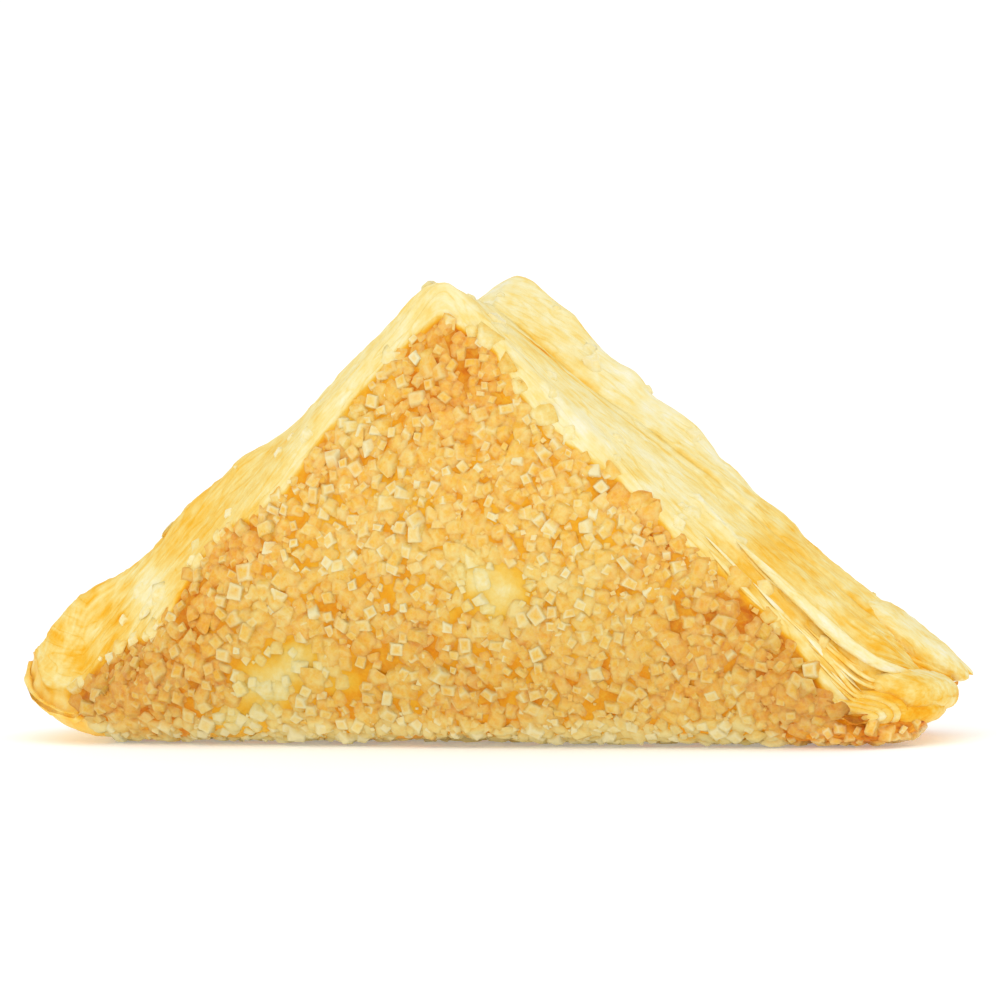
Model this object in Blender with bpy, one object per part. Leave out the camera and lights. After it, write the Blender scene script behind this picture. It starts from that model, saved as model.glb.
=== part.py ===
"""Puff pastry turnover, standing upright on its long fold.

A square of dough is folded along its diagonal, so two triangular leaves hang
together at the rounded fold along the base and meet, pressed but still open,
along the two short sides. The body is one closed loft: a ring of key points
is worked out for every station along the fold, smoothed, and skinned.

Frame: +X along the fold, +Y from the front leaf to the rear leaf, +Z up.
The origin is under the middle of the bounding box, on the flat of the fold.
"""
import math

import bmesh
import bpy
import numpy as np

MM = 0.001

# Overall reach of the fold, measured from the station under the peak.
LEFT_REACH = 67.4 * MM
RIGHT_REACH = 69.4 * MM

# Each line that runs over the peak from corner to corner: the height that its
# two slopes aim at, the station of its peak, both slopes, the rise of each
# side above a straight run, and the radius that blunts the peak.
FRONT_CRUST_EDGE = {"peak": 63.6 * MM, "station": 2.2 * MM, "slopes": (1.055, 1.045),
                    "bows": (0.6 * MM, 0.6 * MM), "blunt": 1.6 * MM}
FRONT_LEAF_LIP = {"peak": 64.8 * MM, "station": 0.6 * MM, "slopes": (0.80, 0.82),
                  "bows": (-0.8 * MM, -2.0 * MM), "blunt": 1.6 * MM}
REAR_LEAF_LIP = {"peak": 66.2 * MM, "station": 4.2 * MM, "slopes": (0.86, 0.875),
                 "bows": (-0.6 * MM, -1.3 * MM), "blunt": 2.6 * MM}
REAR_CRUST_EDGE = {"peak": 64.0 * MM, "station": 3.4 * MM, "slopes": (1.03, 1.06),
                   "bows": (0.3 * MM, -1.2 * MM), "blunt": 1.6 * MM}

# The open seam between the leaves sits lower than both lips, and rides up
# against the rear leaf on the right-hand side.
SEAM_DEPTH = 3.2 * MM
RIGHT_SEAM_PEAK = 63.0 * MM
RIGHT_SEAM_SLOPE = 0.80
RIGHT_SEAM_BOW = 2.4 * MM
RIGHT_SEAM_START = 3.0 * MM

# Distances from the fold's middle plane, and how they change near the peak
# and towards the corners.
CRUST_EDGE_OUT = 15.2 * MM
CRUST_EDGE_IN_AT_PEAK = 2.2 * MM
CRUST_EDGE_IN_AT_CORNER = 2.6 * MM
FRONT_LIP_OUT = 6.0 * MM
FRONT_LIP_OUT_AT_PEAK = 4.0 * MM
SEAM_OUT = 0.5 * MM
SEAM_OUT_AT_PEAK = 2.0 * MM
REAR_LIP_OUT = 8.0 * MM
REAR_LIP_OUT_AT_PEAK = 3.0 * MM
REAR_LIP_IN_AT_CORNER = 1.0 * MM

# The filled belly of each leaf, the rounded fold and its flat.
BELLY = 4.3 * MM
FOLD_ROUND = 4.5 * MM
FLAT_HALF_WIDTH = 8.0 * MM
PILLOW = 0.45 * MM

# The corners close as blunt noses about these heights.
NOSE_START = 0.84
LOWER_NOSE_START = 0.79
LEFT_NOSE_HEIGHT = 10.6 * MM
RIGHT_NOSE_HEIGHT = 9.4 * MM
NOSE_OUT = 1.0 * MM

STATIONS = 60
RING_STEPS = 3
LAST_STATION = 0.995
CROWDING = 0.62

CRUST_COLOUR = (0.80, 0.46, 0.14, 1.0)
CRUST_ROUGHNESS = 0.55


def clear_scene():
    """Remove the objects of the scene that is open."""
    for item in list(bpy.data.objects):
        bpy.data.objects.remove(item, do_unlink=True)


def ease(amount):
    """Smooth step from 0 to 1."""
    amount = np.clip(amount, 0.0, 1.0)
    return amount * amount * (3.0 - 2.0 * amount)


def reach_fraction(x):
    """How far each station lies from the peak's station towards its corner."""
    return np.clip(np.abs(x) / np.where(x < 0.0, LEFT_REACH, RIGHT_REACH), 0.0, 1.0)


def line_height(x, line):
    """Height of a corner-to-corner line: two slopes, a bow and a blunt peak."""
    offset = x - line["station"]
    run = np.sqrt(offset ** 2 + line["blunt"] ** 2)
    slope = np.where(offset < 0.0, *line["slopes"])
    bow = np.where(offset < 0.0, *line["bows"])
    return line["peak"] - slope * run + bow * np.sin(math.pi * reach_fraction(x) ** 1.4)


def seam_height(x, front_lip, rear_lip, near_corner):
    """Height of the open seam between the two leaves."""
    reach = reach_fraction(x)
    groove = np.minimum(front_lip, rear_lip) - SEAM_DEPTH * (1.0 - 0.4 * near_corner)
    shelf = RIGHT_SEAM_PEAK - RIGHT_SEAM_SLOPE * x
    shelf = shelf + RIGHT_SEAM_BOW * np.sin(math.pi * reach ** 2)
    raised = np.minimum(np.maximum(groove, shelf), rear_lip - 1.0 * MM)
    return np.where(x > RIGHT_SEAM_START, raised, groove)


def key_points(x):
    """Key points (y, z) of every section, from the fold's flat round the front."""
    reach = reach_fraction(x)
    near_corner = ease((reach - 0.5) / 0.5)
    near_peak = 1.0 - ease(reach / 0.3)
    fold = FOLD_ROUND * (1.0 - 0.35 * near_corner)

    front_edge = np.maximum(line_height(x, FRONT_CRUST_EDGE), fold + 0.4 * MM)
    rear_edge = np.maximum(line_height(x, REAR_CRUST_EDGE), fold + 0.4 * MM)
    front_lip = np.maximum(line_height(x, FRONT_LEAF_LIP), front_edge + 0.8 * MM)
    rear_lip = np.maximum(line_height(x, REAR_LEAF_LIP), rear_edge + 0.8 * MM)
    seam = seam_height(x, front_lip, rear_lip, near_corner)

    fold_out = CRUST_EDGE_OUT - CRUST_EDGE_IN_AT_CORNER * near_corner
    edge_out = fold_out - CRUST_EDGE_IN_AT_PEAK * near_peak
    front_lip_y = -(FRONT_LIP_OUT + FRONT_LIP_OUT_AT_PEAK * near_peak)
    seam_y = SEAM_OUT + SEAM_OUT_AT_PEAK * near_peak
    rear_lip_y = REAR_LIP_OUT + REAR_LIP_OUT_AT_PEAK * near_peak
    rear_lip_y = rear_lip_y - REAR_LIP_IN_AT_CORNER * near_corner
    flat = FLAT_HALF_WIDTH * (1.0 - 0.2 * near_corner)
    belly = BELLY * (1.0 - reach) ** 0.6
    belly = belly + PILLOW * np.sin(x / (7.5 * MM)) * (1.0 - near_corner)
    middle = np.zeros_like(x)

    front_face = front_edge - fold
    rear_face = rear_edge - fold
    points = [
        (middle, middle),
        (-flat, middle),
        (-0.82 * fold_out, 0.12 * fold),
        (-fold_out - 0.30 * belly, fold),
        (-fold_out - belly, fold + 0.33 * front_face),
        (-0.5 * (fold_out + edge_out) - 0.85 * belly, fold + 0.68 * front_face),
        (-edge_out, front_edge),
        (0.5 * (front_lip_y - edge_out), 0.38 * front_edge + 0.62 * front_lip),
        (front_lip_y, front_lip),
        (0.5 * (front_lip_y + seam_y), 0.5 * (front_lip + seam) - 0.3 * MM),
        (seam_y, seam),
        (0.5 * (seam_y + rear_lip_y), 0.42 * seam + 0.58 * rear_lip),
        (rear_lip_y, rear_lip),
        (0.45 * rear_lip_y + 0.55 * edge_out, 0.5 * (rear_lip + rear_edge)),
        (edge_out, rear_edge),
        (0.5 * (fold_out + edge_out) + 0.85 * belly, fold + 0.68 * rear_face),
        (fold_out + belly, fold + 0.33 * rear_face),
        (fold_out + 0.30 * belly, fold),
        (0.82 * fold_out, 0.12 * fold),
        (flat, middle),
    ]
    rings = np.stack([np.stack(point, axis=-1) for point in points], axis=1)
    return close_noses(rings, x, reach)


def nose_scale(reach, start, power):
    """Shrinking of a section towards the corner, as a blunt rounded end."""
    amount = np.clip((reach - start) / (1.0 - start), 0.0, 1.0)
    return np.sqrt(1.0 - amount ** power)[:, None]


def close_noses(rings, x, reach):
    """Draw each section in towards its nose, the underside sooner."""
    height = np.where(x < 0.0, LEFT_NOSE_HEIGHT, RIGHT_NOSE_HEIGHT)[:, None]
    upper = nose_scale(reach, NOSE_START, 2.2)
    lower = nose_scale(reach, LOWER_NOSE_START, 1.8)
    rise = rings[..., 1] - height
    across = NOSE_OUT + (rings[..., 0] - NOSE_OUT) * upper
    up = height + rise * np.where(rise > 0.0, upper, lower)
    return np.stack((across, up), axis=-1)


def smooth_rings(rings):
    """Pass a closed Catmull-Rom curve through the key points of each ring."""
    before, here, after, beyond = (np.roll(rings, shift, axis=1)[:, :, None]
                                   for shift in (1, 0, -1, -2))
    t = (np.arange(RING_STEPS) / RING_STEPS)[None, None, :, None]
    curve = 0.5 * (2.0 * here
                   + (after - before) * t
                   + (2.0 * before - 5.0 * here + 4.0 * after - beyond) * t ** 2
                   + (3.0 * here - before - 3.0 * after + beyond) * t ** 3)
    return curve.reshape(rings.shape[0], -1, 2)


def station_places():
    """Stations along the fold, closer together towards both corners."""
    even = np.linspace(-1.0, 1.0, STATIONS)
    crowded = CROWDING * np.sin(0.5 * math.pi * even) + (1.0 - CROWDING) * even
    crowded = crowded * LAST_STATION
    return np.where(crowded < 0.0, crowded * LEFT_REACH, crowded * RIGHT_REACH)


def loft(name, x, rings):
    """Skin the rings into one closed mesh, with a fan over each end."""
    shape = bmesh.new()
    loops = []
    for station, ring in zip(x, rings):
        loops.append([shape.verts.new((station, y, z)) for y, z in ring])
    for near, far in zip(loops, loops[1:]):
        for index in range(len(near)):
            following = (index + 1) % len(near)
            shape.faces.new((near[index], near[following], far[following], far[index]))
    for loop in (loops[0], loops[-1]):
        centre = sum((vert.co for vert in loop), loop[0].co * 0.0) / len(loop)
        tip = shape.verts.new(centre)
        for index in range(len(loop)):
            shape.faces.new((loop[index], loop[(index + 1) % len(loop)], tip))
    bmesh.ops.recalc_face_normals(shape, faces=shape.faces)
    mesh = bpy.data.meshes.new(name)
    shape.to_mesh(mesh)
    shape.free()
    return mesh


def crust_material():
    """Baked, sugared puff pastry."""
    material = bpy.data.materials.new("baked_crust")
    material.use_nodes = True
    shader = material.node_tree.nodes["Principled BSDF"]
    shader.inputs["Base Color"].default_value = CRUST_COLOUR
    shader.inputs["Roughness"].default_value = CRUST_ROUGHNESS
    shader.inputs["Metallic"].default_value = 0.0
    return material


def make_pastry(collection):
    """The whole turnover as one solid, standing on the flat of its fold."""
    x = station_places()
    rings = smooth_rings(key_points(x))
    rings[..., 1] = np.maximum(rings[..., 1], 0.0)
    centre = 0.5 * (x.min() + x.max())
    middle = 0.5 * (rings[..., 0].min() + rings[..., 0].max())
    rings[..., 0] = rings[..., 0] - middle
    mesh = loft("pastry", x - centre, rings)
    mesh.materials.append(crust_material())
    mesh.shade_smooth()
    pastry = bpy.data.objects.new("pastry", mesh)
    collection.objects.link(pastry)
    return pastry


def main():
    clear_scene()
    collection = bpy.data.collections.new("turnover_pastry")
    bpy.context.scene.collection.children.link(collection)
    make_pastry(collection)


main()
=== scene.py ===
# Sugar-topped puff pastry turnover standing on its long fold.
# The dough is worked out in millimetres in its own frame: x along the fold, y from the front leaf
# to the rear leaf, z up. buildMesh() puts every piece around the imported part, in metres.
import math

import bpy
import numpy as np
from mathutils import Matrix, Vector
from mathutils.kdtree import KDTree


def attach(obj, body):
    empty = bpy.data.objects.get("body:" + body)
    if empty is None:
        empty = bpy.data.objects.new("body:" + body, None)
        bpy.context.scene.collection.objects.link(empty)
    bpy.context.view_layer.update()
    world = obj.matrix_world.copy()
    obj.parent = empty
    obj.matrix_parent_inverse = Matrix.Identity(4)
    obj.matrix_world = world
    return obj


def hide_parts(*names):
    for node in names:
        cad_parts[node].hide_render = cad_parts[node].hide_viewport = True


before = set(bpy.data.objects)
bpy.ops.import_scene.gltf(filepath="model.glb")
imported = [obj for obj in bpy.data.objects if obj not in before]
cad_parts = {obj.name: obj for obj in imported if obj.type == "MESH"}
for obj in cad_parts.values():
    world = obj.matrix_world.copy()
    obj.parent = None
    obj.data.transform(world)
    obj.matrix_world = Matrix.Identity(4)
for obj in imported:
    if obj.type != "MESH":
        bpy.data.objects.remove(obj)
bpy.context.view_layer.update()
millimetre = 0.001                                              # in metres
print("frame loaded")


# smooth step: 3t^2 - 2t^3, where t runs from 0 to 1 between the two limits
def ease(value, low=0.0, high=1.0):
    t = np.clip((value - low) / (high - low), 0.0, 1.0)
    return t * t * (3.0 - 2.0 * t)


# bell curve: e to the minus squared distance over squared width
def bell(value, centre, width):
    return np.exp(-((value - centre) / width) ** 2)


# a repeatable number from 0 to 1 for each cell: what is left of a large sine
def cellValue(ix, iy, iz, seed):
    wave = np.sin(ix * 127.1 + iy * 311.7 + iz * 74.7 + seed * 53.13) * 43758.5453
    return wave - np.floor(wave)


# value noise from -1 to 1: the eight corners of each cell, blended with smooth steps along x, y and z
def softNoise(x, y, z, seed=0):
    x, y, z = np.broadcast_arrays(x, y, z)
    ix, iy, iz = np.floor(x), np.floor(y), np.floor(z)
    fx, fy, fz = ease(x - ix), ease(y - iy), ease(z - iz)
    total = 0.0
    for cx, wx in ((0, 1.0 - fx), (1, fx)):
        for cy, wy in ((0, 1.0 - fy), (1, fy)):
            for cz, wz in ((0, 1.0 - fz), (1, fz)):
                total = total + wx * wy * wz * cellValue(ix + cx, iy + cy, iz + cz, seed)
    return 2.0 * total - 1.0


# octaves of value noise, each half as strong and half the size of the one before
def layeredNoise(x, y, z, size, seed=0, octaves=3):
    total, strength, reach = 0.0, 1.0, 0.0
    for octave in range(octaves):
        total = total + strength * softNoise(x / size, y / size, z / size, seed + 17 * octave)
        reach, strength, size = reach + strength, strength * 0.5, size * 0.5
    return total / reach


# lumps: one jittered point in each cell, and the height of a paraboloid over the nearest one
def lumpNoise(x, y, z, size, seed=0):
    x, y, z = x / size, y / size, z / size
    ix, iy, iz = np.floor(x), np.floor(y), np.floor(z)
    nearest = np.full(x.shape, 9.0)
    for cx in (-1, 0, 1):
        for cy in (-1, 0, 1):
            for cz in (-1, 0, 1):
                jx, jy, jz = ix + cx, iy + cy, iz + cz
                dx = jx + cellValue(jx, jy, jz, seed) - x
                dy = jy + cellValue(jx, jy, jz, seed + 1) - y
                dz = jz + cellValue(jx, jy, jz, seed + 2) - z
                nearest = np.minimum(nearest, dx * dx + dy * dy + dz * dz)
    return 1.0 - np.clip(nearest, 0.0, 1.0)


# the dough's outline: the same two leaves, lips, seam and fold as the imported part
dough = {
    "reachLeft": 67.4, "reachRight": 69.4,
    "frontCrust": {"peak": 63.6, "station": 2.2, "slopes": (1.055, 1.045), "bows": (0.6, 0.6), "blunt": 1.6},
    "frontLip": {"peak": 64.8, "station": 0.6, "slopes": (0.80, 0.82), "bows": (-0.8, -2.0), "blunt": 1.6},
    "rearLip": {"peak": 66.2, "station": 4.2, "slopes": (0.86, 0.875), "bows": (-0.6, -1.3), "blunt": 2.6},
    "rearCrust": {"peak": 64.0, "station": 3.4, "slopes": (1.03, 1.06), "bows": (0.3, -1.2), "blunt": 1.6},
    "seamDepth": 3.2, "rightSeamPeak": 63.0, "rightSeamSlope": 0.80, "rightSeamBow": 2.4,
    "rightSeamStart": 3.0, "edgeOut": 15.2, "edgeInAtPeak": 2.2, "edgeInAtCorner": 2.6,
    "frontLipOut": 6.0, "frontLipOutAtPeak": 4.0, "seamOut": 0.5, "seamOutAtPeak": 2.0,
    "rearLipOut": 8.0, "rearLipOutAtPeak": 3.0, "rearLipInAtCorner": 1.0,
    "belly": 4.3, "foldRound": 4.5, "flatHalf": 8.0, "pillow": 0.45,
    "noseStart": (0.88, 0.84), "lowerNoseStart": (0.76, 0.79), "nosePower": (2.4, 2.2),
    "noseHeight": (12.4, 9.4), "noseOut": 1.0, "noseUnder": (0.6, 0.0),
    "stations": 300, "lastStation": 0.995, "crowding": 0.62,
    "spanSteps": (5, 5, 5, 34, 34, 34, 12, 12, 12, 12, 12, 12, 12, 12, 34, 34, 34, 5, 5, 5),
}
stationShift = 0.5 * dough["lastStation"] * (dough["reachRight"] - dough["reachLeft"])


# how far each station lies from the peak towards its corner, 0 to 1
def reachFraction(x):
    return np.clip(np.abs(x) / np.where(x < 0.0, dough["reachLeft"], dough["reachRight"]), 0.0, 1.0)


# height of a corner-to-corner line: peak minus slope times distance, blunted like a hyperbola, plus a bow
def lineHeight(x, line):
    offset = x - line["station"]
    run = np.sqrt(offset ** 2 + line["blunt"] ** 2)
    slope = np.where(offset < 0.0, *line["slopes"])
    bow = np.where(offset < 0.0, *line["bows"])
    return line["peak"] - slope * run + bow * np.sin(math.pi * reachFraction(x) ** 1.4)


# key points (y, z) of the section at each station, from the flat of the fold round by the front leaf
def keyRing(x):
    d = dough
    reach = reachFraction(x)
    nearCorner = ease(reach, 0.5, 1.0)
    nearPeak = 1.0 - ease(reach, 0.0, 0.3)
    fold = d["foldRound"] * (1.0 - 0.35 * nearCorner)
    frontEdge = np.maximum(lineHeight(x, d["frontCrust"]), fold + 0.4)
    rearEdge = np.maximum(lineHeight(x, d["rearCrust"]), fold + 0.4)
    frontLip = np.maximum(lineHeight(x, d["frontLip"]), frontEdge + 0.8)
    rearLip = np.maximum(lineHeight(x, d["rearLip"]), rearEdge + 0.8)
    groove = np.minimum(frontLip, rearLip) - d["seamDepth"] * (1.0 - 0.4 * nearCorner)
    shelf = d["rightSeamPeak"] - d["rightSeamSlope"] * x + d["rightSeamBow"] * np.sin(math.pi * reach ** 2)
    raised = np.minimum(np.maximum(groove, shelf), rearLip - 1.0)
    seam = np.where(x > d["rightSeamStart"], raised, groove)
    foldOut = d["edgeOut"] - d["edgeInAtCorner"] * nearCorner
    edgeOut = foldOut - d["edgeInAtPeak"] * nearPeak
    frontLipY = -(d["frontLipOut"] + d["frontLipOutAtPeak"] * nearPeak)
    seamY = d["seamOut"] + d["seamOutAtPeak"] * nearPeak
    rearLipY = d["rearLipOut"] + d["rearLipOutAtPeak"] * nearPeak - d["rearLipInAtCorner"] * nearCorner
    flat = d["flatHalf"] * (1.0 - 0.2 * nearCorner)
    belly = d["belly"] * (1.0 - reach) ** 0.6 + d["pillow"] * np.sin(x / 7.5) * (1.0 - nearCorner)
    middle = np.zeros_like(x)
    frontFace, rearFace = frontEdge - fold, rearEdge - fold
    points = [
        (middle, middle), (-flat, middle), (-0.82 * foldOut, 0.12 * fold),
        (-foldOut - 0.30 * belly, fold), (-foldOut - belly, fold + 0.33 * frontFace),
        (-0.5 * (foldOut + edgeOut) - 0.85 * belly, fold + 0.68 * frontFace), (-edgeOut, frontEdge),
        (0.5 * (frontLipY - edgeOut), 0.38 * frontEdge + 0.62 * frontLip), (frontLipY, frontLip),
        (0.5 * (frontLipY + seamY), 0.5 * (frontLip + seam) - 0.3), (seamY, seam),
        (0.5 * (seamY + rearLipY), 0.42 * seam + 0.58 * rearLip), (rearLipY, rearLip),
        (0.45 * rearLipY + 0.55 * edgeOut, 0.5 * (rearLip + rearEdge)), (edgeOut, rearEdge),
        (0.5 * (foldOut + edgeOut) + 0.85 * belly, fold + 0.68 * rearFace),
        (foldOut + belly, fold + 0.33 * rearFace), (foldOut + 0.30 * belly, fold),
        (0.82 * foldOut, 0.12 * fold), (flat, middle),
    ]
    rings = np.stack([np.stack(point, axis=-1) for point in points], axis=1)
    # blunt noses: each section shrinks like the end of an ellipse, its underside sooner
    ends = ("noseStart", "lowerNoseStart", "nosePower", "noseHeight", "noseUnder")
    upperStart, lowerStart, power, height, under = (np.where(x < 0.0, *d[key]) for key in ends)
    upper = np.sqrt(1.0 - np.clip((reach - upperStart) / (1.0 - upperStart), 0.0, 1.0) ** power)[:, None]
    lower = np.sqrt(1.0 - np.clip((reach - lowerStart) / (1.0 - lowerStart), 0.0, 1.0) ** 1.8)[:, None]
    height, under = height[:, None], under[:, None]
    rise = rings[..., 1] - height
    inward = upper + under * ease(-rise, 0.0, 7.0) * (lower - upper)
    across = d["noseOut"] + (rings[..., 0] - d["noseOut"]) * inward
    return np.stack((across, height + rise * np.where(rise > 0.0, upper, lower)), axis=-1)


# Catmull-Rom: half of a cubic in t whose slope at each end is half the step between that end's neighbours
def curveBetween(before, here, after, beyond, t):
    return 0.5 * (2.0 * here + (after - before) * t
                  + (2.0 * before - 5.0 * here + 4.0 * after - beyond) * t ** 2
                  + (3.0 * here - before - 3.0 * after + beyond) * t ** 3)


# closed curve through the key points of each ring, with its own number of steps in each span
def smoothRing(rings, steps):
    pieces = []
    count = rings.shape[1]
    for span, number in enumerate(steps):
        neighbours = (rings[:, (span + s) % count, None] for s in (-1, 0, 1, 2))
        pieces.append(curveBetween(*neighbours, (np.arange(number) / number)[None, :, None]))
    return np.concatenate(pieces, axis=1)


# stations along the fold, closer together towards both corners: part even, part sine
def stationPlaces():
    even = np.linspace(-1.0, 1.0, dough["stations"])
    place = dough["crowding"] * np.sin(0.5 * math.pi * even) + (1.0 - dough["crowding"]) * even
    place = place * dough["lastStation"]
    return np.where(place < 0.0, place * dough["reachLeft"], place * dough["reachRight"])


# vectors divided by their own lengths
def unit(vectors, least=1e-9):
    return vectors / np.maximum(np.linalg.norm(vectors, axis=-1, keepdims=True), least)


# outward normals: the step along the grid crossed with the step round its closed rings
def gridNormals(points):
    along = np.gradient(points, axis=0)
    around = np.roll(points, -1, axis=1) - np.roll(points, 1, axis=1)
    return unit(np.cross(along, around))


stations = stationPlaces()
keyColumns = np.concatenate(([0], np.cumsum(dough["spanSteps"])))
plain = smoothRing(keyRing(stations), dough["spanSteps"])
plain = np.concatenate((np.repeat(stations[:, None, None], plain.shape[1], axis=1), plain), axis=2)
plain[..., 2] = np.maximum(plain[..., 2], 0.0)
bodyNormal = gridNormals(plain)
arc = np.cumsum(np.linalg.norm(np.diff(plain, axis=1, prepend=plain[:, :1]), axis=2), axis=1)
# millimetres round the section from the front crust's edge, the front lip, the seam, the rear lip and edge
fromFrontEdge, fromLip, fromSeam, fromRearLip, fromRearEdge = (
    arc - arc[:, keyColumns[key], None] for key in (6, 8, 10, 12, 14))
gx, gy, gz = plain[..., 0], plain[..., 1], plain[..., 2]
reachGrid = reachFraction(gx)
rightSide = ease(gx, 2.0, 8.0)
slopeLength = 1.3                                               # slope covered by each millimetre of x
along = gx * slopeLength
across = np.where(fromSeam < 0.0, fromFrontEdge, fromRearEdge)  # distance across each open side
print("dough outline", plain.shape)

# where the crust is sugared and where the open, layered sides show
sides = {"ragged": 1.0, "raggedSize": 3.0, "fade": 0.7}
# (x, millimetres) the side's dough laps over the front crust's edge; negative where the crust runs past it
overlaps = (
    (-58.0, -2.0), (-53.0, -4.4), (-47.0, -2.0), (-44.0, 0.8), (-39.0, 3.4), (-36.0, 0.2), (-32.5, -1.8),
    (-29.0, 0.8), (-26.0, 3.2), (-21.0, 4.2), (-15.0, 2.6), (-8.0, 2.2), (-3.0, 2.2), (0.0, 3.5),
    (4.0, 3.5), (7.0, 2.0), (10.0, 1.5), (13.0, 2.8), (16.0, 3.2), (20.0, 2.8), (25.0, 1.9), (30.0, 0.6),
    (38.0, 0.3), (43.0, -1.0), (51.0, -1.5), (57.0, 1.2),
)
raggedEdge = sides["ragged"] * layeredNoise(gx, gy * 0.4, gz, sides["raggedSize"], 3)
overlap = np.interp(gx, *zip(*overlaps))
onSide = (ease(fromFrontEdge + raggedEdge + overlap, -sides["fade"], sides["fade"])
          * ease(-fromRearEdge + raggedEdge, -sides["fade"], sides["fade"]))
# both noses are wrapped in plain golden dough: the left one low down and right round its tip
wrapTop = 0.8 + 5.7 * ease(-gx, 50.0, 58.5) + 5.0 * ease(-gx, 60.0, 66.0) + 0.6 * raggedEdge
noseWrap = np.maximum(ease(-gx, 49.0, 53.0) * (1.0 - ease(gz - wrapTop, 0.0, 1.5)),
                      ease(-gx, 60.0, 63.0) * ease(gy, -4.0, 2.0))
noseWrap = np.maximum(noseWrap, ease(gx, 61.0, 66.0) * (1.0 - ease(gz, 5.5, 8.5)))
onSide = onSide * (1.0 - noseWrap)
onCrust = 1.0 - onSide
onBase = 1.0 - ease(gz, 0.2, 3.0)

# strokes on the open sides: (x, millimetres from the front edge) pairs, width, height and bake change
strokes = (
    (((36.0, 9.0), (43.4, 7.4), (50.7, 7.6), (57.0, 9.0), (61.5, 8.0), (65.2, 5.4)), 0.62, 1.00, -0.12),
    (((40.0, 4.9), (48.0, 5.0), (56.0, 6.4), (61.5, 5.9), (65.0, 3.6)), 1.00, -0.25, 0.12),
    (((58.0, 4.3), (61.0, 3.9), (63.6, 2.9)), 0.22, -0.35, 0.30),
    (((57.0, 3.1), (60.0, 3.0), (64.2, 1.6)), 0.24, -0.35, 0.34),
    (((59.5, 5.2), (62.5, 4.6), (65.4, 2.6)), 0.20, -0.30, 0.26),
    (((55.0, 0.8), (58.5, 1.4), (62.5, 0.6), (65.2, -0.6)), 0.90, 0.55, -0.16),
    (((54.0, -1.1), (59.0, -1.0), (63.0, -2.0), (66.0, -2.6), (67.2, -1.0)), 0.26, -0.60, 0.50),
    (((55.5, -2.0), (60.0, -2.1), (64.0, -3.2), (66.6, -3.6), (68.0, -1.0)), 0.34, 0.40, -0.12),
    (((64.0, 8.2), (66.0, 6.2), (67.6, 3.8)), 0.25, -0.60, 0.55),
    (((-66.0, 1.6), (-62.0, 2.2), (-56.0, 1.2), (-51.0, 0.6)), 0.50, 0.45, -0.14),
    (((-65.5, 0.3), (-60.0, 0.8), (-52.0, -0.4)), 0.32, -0.35, 0.26),
)


# distance to a stroke: the least distance to each of its straight runs, measured down the slope
def strokeDistance(path):
    least = np.full(gx.shape, 99.0)
    for (x0, a0), (x1, a1) in zip(path[:-1], path[1:]):
        dx, da = slopeLength * (x1 - x0), a1 - a0
        runX, runA = slopeLength * (gx - x0), fromFrontEdge - a0
        t = np.clip((runX * dx + runA * da) / (dx * dx + da * da), 0.0, 1.0)
        least = np.minimum(least, np.hypot(runX - t * dx, runA - t * da))
    return least


strokeRelief, strokeBake = 0.0, 0.0
for path, width, height, change in strokes:
    mark = np.exp(-(strokeDistance(path) / width) ** 2) * np.where(fromSeam < 6.0, 1.0, 0.0)
    strokeRelief = strokeRelief + height * mark
    strokeBake = strokeBake + change * mark

# sheets of dough: a saw-tooth across the side, each sheet with its own strength along it
layers = {"pitch": 1.25, "depth": 0.22, "warp": 1.5, "warpSize": 5.0, "quiet": 0.15, "drop": 0.2}
warp = layers["warp"] * layeredNoise(along / 2.2, across * 0.6, 0.0, layers["warpSize"], 11)
layerPlace = (across + warp) / layers["pitch"]
sheet = np.floor(layerPlace)
part = layerPlace - sheet
saw = np.where(part < 1.0 - layers["drop"], part / (1.0 - layers["drop"]), (1.0 - part) / layers["drop"])
sheetOwn = softNoise(along / 7.0, sheet * 3.7, 0.0, 31)
towardsCorner = ease(reachGrid, 0.35, 0.9) * np.where(gx < 0.0, 1.0, 0.6)
layerStrength = layers["quiet"] + (1.0 - layers["quiet"]) * towardsCorner
layerStrength = layerStrength * np.clip(0.65 + 0.7 * layeredNoise(gx, gy, gz, 12.0, 23, 2), 0.1, 1.2)
streaks = layeredNoise(along / 6.0, across * 1.0, 0.0, 0.9, 113)

# crust: broad blisters and lumps of melted sugar
crust = {"inset": 0.55, "blister": 0.34, "blisterSize": 8.0, "lump": 0.42, "lumpSize": 3.1, "fine": 0.10}
lumps = lumpNoise(gx, gy, gz, crust["lumpSize"], 61)
blisters = layeredNoise(gx, gy, gz, crust["blisterSize"], 5)
relief = blisters * crust["blister"] * (1.0 - 0.8 * onBase)
relief = relief + onCrust * (crust["lump"] * (lumps - 0.6) - crust["inset"])
relief = relief + onCrust * crust["fine"] * layeredNoise(gx, gy, gz, 1.8, 8)
relief = relief + onSide * layers["depth"] * layerStrength * (saw - 0.5) * (0.7 + 0.6 * sheetOwn)
relief = relief + onSide * 0.08 * streaks
relief = relief + onSide * layeredNoise(gx, gy, gz, 1.3, 127) * (0.12 + 0.12 * ease(reachGrid, 0.6, 0.95))
relief = relief + onSide * strokeRelief
relief = relief - 0.55 * bell(fromSeam, 0.0, 0.6) * onSide * (0.6 + 0.4 * softNoise(gx / 6.0, 0.0, 0.0, 71))
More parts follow.
